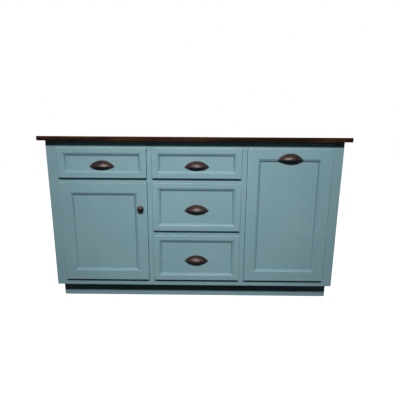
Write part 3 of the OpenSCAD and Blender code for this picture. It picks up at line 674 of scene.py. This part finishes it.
def drawer_front(node):
    """One moulded board, with its panel sunk in its face."""
    lo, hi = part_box(node)
    inner = DRAWER_BORDER + MOULDING
    # The last points keep painted shade along the panel's edge
    profile = [(0.0, hi.y - lo.y, 0.0, 0.0)] + moulding_profile(DRAWER_BORDER) + [
        (inner + 0.0004, PANEL_DEPTH, 0.0, 0.6), (inner + 0.0015, PANEL_DEPTH, 0.0, 0.0)]
    bm = blank()
    rings = front_rings(bm, lo, hi, profile)
    skin(bm, rings)
    cap(bm, rings[0])
    cap(bm, rings[-1])
    stand_in(node, "_moulded", bm, [PAINT], "painted_wood", sharp=20, crisp=True)


def framed_front(frame_node, panel_node):
    """A frame of moulded stiles and rails round a loose panel."""
    lo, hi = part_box(frame_node)
    inner, back = DOOR_BORDER + MOULDING, hi.y - lo.y
    # The last points keep painted shade along the panel's edge
    profile = [(0.0, back, 0.0, 0.0)] + moulding_profile(DOOR_BORDER) + [
        (inner, PANEL_DEPTH + 0.0005, 0.0, 0.9), (inner, back - 0.0006, 0.0, 0.0),
        (inner - 0.0006, back, 0.0, 0.0)]
    bm = blank()
    skin(bm, front_rings(bm, lo, hi, profile), wrap=True)
    stand_in(frame_node, "_moulded", bm, [PAINT], "painted_wood", sharp=20, crisp=True)
    boards(panel_node, PAINT, 2, "painted_wood", PANEL_EASE)


# ---- pulls and knob ----

def pull_section(x):
    """A pull's section at a distance from its middle: (y, z) points round the metal."""
    def height(half, top):
        """Height at x of an arc of a circle that is twice half long and top high."""
        radius = (half * half + top * top) / (2 * top)
        return max(0.0, math.sqrt(max(0.0, radius * radius - x * x)) - (radius - top))

    t, margin = PULL_FLANGE, PULL_HEIGHT - PULL_REACH
    outer = height(PULL_HALF - margin, PULL_REACH)
    inner = height(PULL_HALF - margin - PULL_WALL, PULL_REACH - PULL_WALL)
    edge = max(height(PULL_HALF, PULL_HEIGHT), PULL_TIP)
    hollow = arc((0.0, 0.0), inner, 180, 90, 10)
    if outer > t:
        start = math.degrees(math.asin(t / outer))      # where the cup leaves the flange
        wall = outer - inner
        dome = arc((0.0, 0.0), outer, 90 + start, 180, 12)
        lip = [(-outer + wall * (0.5 - 0.5 * math.cos(math.radians(a))),
                -0.35 * wall * math.sin(math.radians(a))) for a in (45, 90, 135)]
    else:                                               # only the flange reaches the ends
        dome = [(-t, 0.25 * edge * (1 - i / 12)) for i in range(13)]
        lip = [(-t * share, 0.0) for share in (0.9, 0.6, 0.3)]
    flange = [(0.0, edge), (-0.55 * t, edge), (-0.9 * t, edge - 0.25 * t),
              (-t, max(edge - 0.8 * t, dome[0][1]))]
    return hollow + flange + dome + lip


def cup_pull(bm, at):
    """A cup pull on the surface point at its lip's middle."""
    rings = []
    for i in range(PULL_SECTIONS):
        x = -math.cos(math.pi * i / (PULL_SECTIONS - 1)) * (PULL_HALF - 0.0003)
        rings.append(ring(bm, [(at.x + x, at.y + y, at.z + z) for y, z in pull_section(x)]))
    skin(bm, rings)
    cap(bm, rings[0])
    cap(bm, rings[-1])
    bmesh.ops.remove_doubles(bm, verts=bm.verts, dist=2 * SAME)
    bmesh.ops.dissolve_degenerate(bm, edges=bm.edges, dist=SAME)


def screw_head(bm, at):
    """A pan head with a cross recess, which faces backward."""
    place = facing(at, False)
    radius, height = SCREW_HEAD, SCREW_HEAD_HEIGHT
    crown = SCREW_CROWN * radius
    turned(bm, place, [(0.0, 0.0), (radius, 0.0), (radius, 0.35 * height), (0.93 * radius, 0.68 * height),
                       (0.72 * radius, 0.92 * height), (crown, height)], SCREW_SEGMENTS)
    arm, reach = 0.13 * radius, 0.46 * radius
    cross = [(reach, arm), (arm, arm), (arm, reach), (-arm, reach), (-arm, arm), (-reach, arm),
             (-reach, -arm), (-arm, -arm), (-arm, -reach), (arm, -reach), (arm, -arm), (reach, -arm)]
    rim = ring(bm, [place @ Vector((crown * math.cos(a), crown * math.sin(a), height))
                    for a in (2 * math.pi * i / SCREW_SEGMENTS for i in range(SCREW_SEGMENTS))])
    top = ring(bm, [place @ Vector((x, y, height)) for x, y in cross])
    floor = ring(bm, [place @ Vector((0.6 * x, 0.6 * y, 0.35 * height)) for x, y in cross])
    edges = [bm.edges.new((r[i], r[(i + 1) % len(r)])) for r in (rim, top) for i in range(len(r))]
    bmesh.ops.triangle_fill(bm, use_beauty=True, edges=edges)
    skin(bm, [top, floor])
    cap(bm, floor)


def pull(node):
    """The pull of a front, and its two screws: their sleeves in the cup and their heads behind."""
    lo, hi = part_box(node)
    at = Vector(((lo.x + hi.x) / 2, lo.y + PULL_REACH, lo.z))
    bm = blank()
    cup_pull(bm, at)
    stand_in(node, "_cup", bm, [BRONZE], "dark_bronze", sharp=50)
    bm = blank()
    for side in (-1, 1):
        x, z = at.x + side * PULL_SCREWS, at.z + PULL_SCREW_LIFT
        sleeve = [(0.0, -PULL_SLEEVE), (0.0038, -PULL_SLEEVE), (0.004, 0.0), (0.0, 0.0)]
        turned(bm, facing((x, at.y, z), False), sleeve, SCREW_SEGMENTS)
        screw_head(bm, Vector((x, hi.y - SCREW_HEAD_HEIGHT, z)))
    piece(node + "_screws", bm, BODY_OF[node], [ZINC], "zinc_steel", sharp=40)


def knob():
    """The turned knob of the door, with its screw's head on the door's back."""
    lo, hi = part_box("door_knob")
    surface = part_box("door_frame")[0].y
    at = Vector(((lo.x + hi.x) / 2, surface, (lo.z + hi.z) / 2))
    head, reach = (hi.x - lo.x) / 2, surface - lo.y
    shape = [(0.0, 0.0), (0.5, 0.0), (0.5, 0.05), (0.47, 0.09), (0.38, 0.13), (0.345, 0.2), (0.345, 0.36),
             (0.42, 0.43), (0.66, 0.475), (0.88, 0.52), (0.985, 0.585), (1.0, 0.64), (0.985, 0.7),
             (0.93, 0.775), (0.8, 0.86), (0.6, 0.93), (0.36, 0.975), (0.15, 0.997), (0.0, 1.0)]
    bm = blank()
    turned(bm, facing(at, True), [(head * out, reach * along) for out, along in shape], 64)
    stand_in("door_knob", "_turned", bm, [BRONZE], "dark_bronze", sharp=60)
    bm = blank()
    screw_head(bm, Vector((at.x, hi.y - SCREW_HEAD_HEIGHT, at.z)))
    piece("door_knob_screw", bm, BODY_OF["door_knob"], [ZINC], "zinc_steel", sharp=40)


# ---- boxes, bins and ironwork ----

def drawer_box(node, bottom_node):
    """Four walls with eased top edges, and the bottom in its groove."""
    lo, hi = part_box(node)
    t = BOX_WALL
    bm = blank()
    board(bm, (lo.x, lo.y, lo.z), (lo.x + t, hi.y, hi.z), 1, 0)
    board(bm, (hi.x - t, lo.y, lo.z), (hi.x, hi.y, hi.z), 1, 0)
    board(bm, (lo.x + t, lo.y, lo.z), (hi.x - t, lo.y + t, hi.z), 0, 1)
    board(bm, (lo.x + t, hi.y - t, lo.z), (hi.x - t, hi.y, hi.z), 0, 1)
    stand_in(node, "_boards", bm, [BIRCH], "box_plywood", ease=BOX_EASE)
    boards(bottom_node, BIRCH, 0, "box_plywood", BOTTOM_EASE)


def bin_carrier():
    """The pull-out's box: its side walls slope down towards the back."""
    lo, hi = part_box("bin_carrier")
    t, back_top = BOX_WALL, lo.z + CARRIER_BACK
    slope = [(lo.y, lo.z), (hi.y, lo.z), (hi.y, back_top), (hi.y - t, back_top),
             (lo.y + t, hi.z), (lo.y, hi.z)]
    bm = blank()
    prism(bm, slope, lo.x, lo.x + t, lo, 1, 0)
    prism(bm, slope, hi.x - t, hi.x, (hi.x - t, lo.y, lo.z), 1, 0)
    board(bm, (lo.x + t, lo.y, lo.z), (hi.x - t, lo.y + t, hi.z), 0, 1)
    board(bm, (lo.x + t, hi.y - t, lo.z), (hi.x - t, hi.y, back_top), 0, 1)
    stand_in("bin_carrier", "_boards", bm, [BIRCH], "box_plywood", ease=BOX_EASE)
    boards("carrier_bottom", BIRCH, 0, "box_plywood", BOTTOM_EASE)


def rounded_ring(bm, centre, half_x, half_y, radius, z):
    """A level rectangle of points with round corners."""
    points = []
    for sx, sy, start in ((1, 1, 0), (-1, 1, 90), (-1, -1, 180), (1, -1, 270)):
        corner = (centre.x + sx * (half_x - radius), centre.y + sy * (half_y - radius))
        points += [(x, y, z) for x, y in arc(corner, radius, start, start + 90, CORNER_STEPS)]
    return ring(bm, points)


def waste_bin(node):
    """A tapered bin with round corners, a curled rim and a rounded foot."""
    lo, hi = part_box(node)
    centre, half = (lo + hi) / 2, (hi - lo) / 2
    bottom, top = lo.z, hi.z
    bm = blank()

    def level(inset, radius, z):
        """A ring that lies inside the rim's edge."""
        return rounded_ring(bm, centre, half.x - inset, half.y - inset, radius, z)

    def lean(z):
        """How far the outside stands in from the rim's edge at a height."""
        return BIN_RIM + BIN_TAPER * (top - z) / (top - bottom)

    def wall(z, extra=0.0):
        """A ring on the outside, or deeper in by an extra."""
        return level(lean(z) + extra, max(BIN_CORNER - BIN_RIM - extra, 0.004), z)

    def share(f):
        return bottom + f * (top - bottom)

    t, foot = BIN_WALL, BIN_FOOT
    rings = [level(lean(bottom) + foot, BIN_FOOT_CORNER, bottom)]
    rings += [wall(bottom + foot * (1 - math.cos(math.radians(a))), foot * (1 - math.sin(math.radians(a))))
              for a in (30, 60, 90)]
    rings += [wall(share(f)) for f in (0.25, 0.5, 0.75)]
    under = top - BIN_RIM_HEIGHT
    rings += [wall(under - 0.002), wall(under, -0.0012)]
    rings += [level(inset, BIN_CORNER - inset, z) for inset, z in (
        (0.0012, under), (0.0, under + 0.0015), (0.0, top - 0.004), (0.0008, top - 0.0014),
        (0.003, top), (0.0075, top))]
    rings += [wall(top - 0.0015, t - 0.0006), wall(top - 0.004, t)]
    rings += [wall(share(f), t) for f in (0.75, 0.5, 0.25)]
    floor = bottom + t
    rings += [wall(floor + 0.008, t), wall(floor + 0.0023, t + 0.0023), wall(floor, t + 0.008)]
    skin(bm, rings)
    cap(bm, rings[0])
    cap(bm, rings[-1])
    stand_in(node, "_moulded", bm, [PLASTIC], "bin_plastic", sharp=50)


def keep(node, finish, ease):
    """A CAD node that keeps its shape and gets a finish, with its edges eased."""
    obj = frame["nodes"][node]
    obj.data.materials.clear()
    obj.data.materials.append(finish)
    weld = obj.modifiers.new("joined points", "WELD")
    weld.merge_threshold = SAME
    eased(obj, ease)


def slides():
    """The members of the drawers' and the pull-out's slides."""
    for node in frame["nodes"]:
        if node == "cabinet_slides" or node.endswith(("_runners", "_middles")):
            keep(node, ZINC, SLIDE_EASE)


def hinges():
    for node in ("hinge_plates", "hinge_links", "hinge_cups"):
        keep(node, NICKEL, SMALL_EASE)


def pins_and_screws():
    for node in ("shelf_pins", "countertop_screws"):
        keep(node, ZINC, SMALL_EASE)


# ---- light, floor and camera ----

def area_lamp(name, place, target, width, height, power, beam=180):
    data = bpy.data.lights.new(name, "AREA")
    data.spread = math.radians(beam)
    data.shape = "RECTANGLE"
    data.size, data.size_y = width, height
    data.energy = power
    lamp = bpy.data.objects.new(name, data)
    bpy.context.scene.collection.objects.link(lamp)
    lamp.location = place
    lamp.rotation_euler = (Vector(target) - Vector(place)).to_track_quat("-Z", "Y").to_euler()
    return lamp


def lamps():
    """One wide lamp high in front, and soft ones at both ends and behind."""
    face_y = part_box("left_stile")[0].y
    area_lamp("front lamp", (0.0, face_y - LAMP_AHEAD, 1.95), (0.0, face_y, -0.2), 1.2, 0.2, 34.1, 119)
    for name, place, target, size, power in (
            ("left lamp", (-3.4, 0.9, 2.0), (-0.7, 0.1, 0.5), 1.6, 100),
            ("right lamp", (3.4, 0.9, 2.0), (0.7, 0.1, 0.5), 1.6, 100),
            ("back lamp", (0.0, 3.2, 2.2), (0.0, 0.3, 0.45), 1.8, 95)):
        lamp = area_lamp(name, place, target, size, size, power)
        lamp.visible_glossy = False     # the top would mirror it as a white patch


def seen_rays(tree):
    """The kinds of ray, and a mask of those that see the backdrop itself."""
    rays = put(tree, "LightPath").outputs
    return rays, maths(tree, "MAXIMUM", rays["Is Camera Ray"], rays["Is Transmission Ray"])


def backdrop():
    """White for the camera, dim in reflections, and a little even light."""
    world = bpy.data.worlds.new("studio")
    bpy.context.scene.world = world
    world.use_nodes = True
    tree = world.node_tree
    tree.nodes.clear()
    rays, seen = seen_rays(tree)
    seen = maths(tree, "MAXIMUM", seen, times(tree, rays["Is Glossy Ray"], MIRRORED))
    back = put(tree, "Background", {"Color": WHITE, "Strength": spread(tree, seen, 0, 1, FILL, 1.0)})
    output = put(tree, "OutputWorld")
    tree.links.new(back.outputs[0], output.inputs["Surface"])


def pale_floor():
    """A matt floor that holds the unit's shadow and turns white away from it."""
    material = bpy.data.materials.new("pale floor")
    material.use_nodes = True
    tree = material.node_tree
    tree.nodes.clear()
    rays, seen = seen_rays(tree)
    place = put(tree, "TexCoord").outputs["Object"]
    away = put(tree, "VectorMath", {0: place}, operation="LENGTH").outputs["Value"]
    glow = put(tree, "Emission", {
        "Color": WHITE, "Strength": times(tree, seen, spread(tree, away, 1.2, 2.6, 0.92, 1.0))})
    shade = blend_colours(tree, rays["Is Camera Ray"], (0.035, 0.035, 0.035, 1), (0.2, 0.2, 0.2, 1))
    matt = put(tree, "BsdfDiffuse", {"Color": shade})
    both = put(tree, "AddShader", {0: matt.outputs[0], 1: glow.outputs[0]})
    output = put(tree, "OutputMaterial")
    tree.links.new(both.outputs[0], output.inputs["Surface"])
    mesh = bpy.data.meshes.new("floor")
    corners = [(x * FLOOR_HALF, y * FLOOR_HALF, 0) for x, y in ((-1, -1), (1, -1), (1, 1), (-1, 1))]
    mesh.from_pydata(corners, [], [(0, 1, 2, 3)])
    mesh.materials.append(material)
    floor = bpy.data.objects.new("floor", mesh)
    bpy.context.scene.collection.objects.link(floor)
    floor.location.z = -FLOOR_DROP


def camera():
    """The photograph's view, from the corners and edges that show in it."""
    face_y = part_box("left_stile")[0].y
    yaw, pitch, roll = (math.radians(a) for a in (YAW, PITCH, ROLL))
    forward = Vector((math.sin(yaw) * math.cos(pitch), math.cos(yaw) * math.cos(pitch), -math.sin(pitch)))
    level = Vector((math.cos(yaw), -math.sin(yaw), 0))
    up = level.cross(forward)
    right, up = level * math.cos(roll) + up * math.sin(roll), up * math.cos(roll) - level * math.sin(roll)
    data = bpy.data.cameras.new("camera")
    data.sensor_width = SENSOR
    data.lens = SENSOR * FOCAL_PIXELS / FRAME_PIXELS
    data.clip_end = 30.0
    eye = bpy.data.objects.new("camera", data)
    bpy.context.scene.collection.objects.link(eye)
    turn = Matrix((right, up, -forward)).transposed()
    eye.matrix_world = Matrix.Translation((EYE_X, face_y - EYE_AHEAD, EYE_Z)) @ turn.to_4x4()
    bpy.context.scene.camera = eye


def build():
    camera()
    countertop()
    face_frame()
    carcass()
    for drawer in ("left_drawer", "upper_drawer", "middle_drawer", "lower_drawer"):
        drawer_front(drawer + "_front")
        drawer_box(drawer + "_box", drawer + "_bottom")
        pull(drawer + "_pull")
    framed_front("door_frame", "door_panel")
    framed_front("bin_front_frame", "bin_front_panel")
    pull("bin_pull")
    knob()
    bin_carrier()
    waste_bin("front_bin")
    waste_bin("rear_bin")
    slides()
    hinges()
    pins_and_screws()
    lamps()
    backdrop()
    pale_floor()
    bpy.context.scene.view_settings.view_transform = "Standard"


build()
